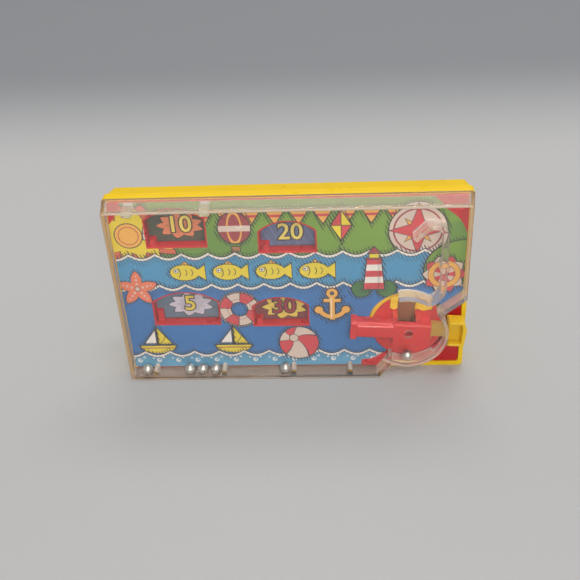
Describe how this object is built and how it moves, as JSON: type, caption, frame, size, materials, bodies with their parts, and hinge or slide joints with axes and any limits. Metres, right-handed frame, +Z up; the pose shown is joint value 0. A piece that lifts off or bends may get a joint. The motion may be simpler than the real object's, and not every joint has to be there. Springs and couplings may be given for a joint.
{
  "type": "pocket dexterity game",
  "caption": "Clear-fronted pocket game: loose steel balls are loaded into a pivoting spring-fired cannon and shot at arched scoring pockets",
  "frame": {"origin": "middle of the footprint at the height of the lowest point, on the long bottom edge the game stands on", "axes": "+X runs right along the long side, +Y runs from the clear front to the back, +Z is up"},
  "size_m": [0.1232, 0.0188, 0.0721],
  "materials": {
    "yellow_plastic": "moulded polystyrene, smooth, light wear on the edges",
    "red_plastic": "moulded polystyrene, smooth",
    "printed_card": "thin card with a printed picture under a satin coat",
    "pocket_print": "thin printed card at the back of a pocket",
    "clear_plastic": "clear moulded styrene, light scratches",
    "orange_red_plastic": "moulded polystyrene, smooth",
    "amber_plastic": "moulded polystyrene, smooth",
    "plain_steel": "plain steel with turning marks",
    "spring_wire": "drawn spring wire",
    "ball_steel": "ground steel ball, fine scratches"
  },
  "bodies": {
    "game": {"rear_case": "yellow_plastic", "inner_tray": "red_plastic", "printed_card": "printed_card", "pocket_label_1": "pocket_print", "pocket_label_2": "pocket_print", "pocket_label_3": "pocket_print", "pocket_label_4": "pocket_print", "clear_cover": "clear_plastic", "case_screws": "plain_steel"},
    "cannon": {"gun_body": "orange_red_plastic", "gun_carrier": "amber_plastic", "carrier_washer": "plain_steel", "carrier_screw": "plain_steel", "lever_spring": "spring_wire"},
    "lever": {"firing_lever": "amber_plastic", "striker_pin": "plain_steel"},
    "ball_1": {"ball_1": "ball_steel"},
    "ball_2": {"ball_2": "ball_steel"},
    "ball_3": {"ball_3": "ball_steel"},
    "ball_4": {"ball_4": "ball_steel"},
    "ball_5": {"ball_5": "ball_steel"},
    "ball_6": {"ball_6": "ball_steel"}
  },
  "joints": [
    {"name": "cannon_aim", "type": "hinge", "parent": "game", "child": "cannon", "pos_m": [0.041, 0, 0.0193], "axis": [0, 1, 0], "range_deg": [0, 30]},
    {"name": "lever_pull", "type": "slide", "parent": "cannon", "child": "lever", "axis": [0.9976, 0, -0.0698], "range_m": [0, 0.004], "stiffness_N_per_m": 300, "springref_m": -0.001, "deforming": ["lever_spring"]},
    {"name": "ball_1_roll", "type": "slide", "parent": "game", "child": "ball_1", "axis": [1, 0, 0], "range_m": [-0.0031, 0.0001]},
    {"name": "ball_2_roll", "type": "slide", "parent": "game", "child": "ball_2", "axis": [1, 0, 0], "range_m": [-0.0095, 0.0001]},
    {"name": "ball_3_roll", "type": "slide", "parent": "game", "child": "ball_3", "axis": [1, 0, 0], "range_m": [-0.0095, 0.0001]},
    {"name": "ball_4_roll", "type": "slide", "parent": "game", "child": "ball_4", "axis": [1, 0, 0], "range_m": [-0.0095, 0.0001]},
    {"name": "ball_5_roll", "type": "slide", "parent": "game", "child": "ball_5", "axis": [1, 0, 0], "range_m": [-0.0195, 0.0001]},
    {"name": "ball_6_roll", "type": "hinge", "parent": "game", "child": "ball_6", "pos_m": [0.041, 0, 0.0193], "axis": [0, 1, 0], "range_deg": [-30, 15]}
  ],
  "couplings": [
    {"joint": "ball_2_roll", "follows": "ball_3_roll", "ratio": 1},
    {"joint": "ball_4_roll", "follows": "ball_3_roll", "ratio": 1}
  ]
}
